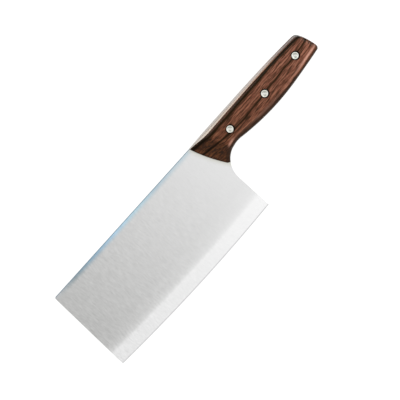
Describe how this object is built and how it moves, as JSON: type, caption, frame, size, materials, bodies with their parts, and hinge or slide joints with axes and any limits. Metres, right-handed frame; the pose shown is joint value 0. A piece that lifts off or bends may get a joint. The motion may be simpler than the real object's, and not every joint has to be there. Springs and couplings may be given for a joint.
{
  "type": "chopping knife",
  "caption": "Tall rectangular kitchen chopping knife with a full tang and riveted dark wooden handle scales, for slicing and chopping vegetables and meat.",
  "frame": {"origin": "centre of the knife's box at its underside, where it lies on its right side on a table", "axes": "+X from the front edge of the blade to the butt of the handle, +Y from the cutting edge to the spine, +Z out of the left cheek"},
  "size_m": [0.3, 0.082, 0.018],
  "materials": {
    "blade_steel": "satin, brushed across the blade, with a brighter ground bevel",
    "handle_wood": "varnished dark brown wood with a fine straight grain",
    "rivet_metal": "polished, with a shallow dull dimple"
  },
  "bodies": {
    "root": {"blade": "blade_steel", "scale_left": "handle_wood", "scale_right": "handle_wood", "rivet_front_post": "rivet_metal", "rivet_front_socket": "rivet_metal", "rivet_middle_post": "rivet_metal", "rivet_middle_socket": "rivet_metal", "rivet_rear_post": "rivet_metal", "rivet_rear_socket": "rivet_metal"}
  },
  "joints": []
}
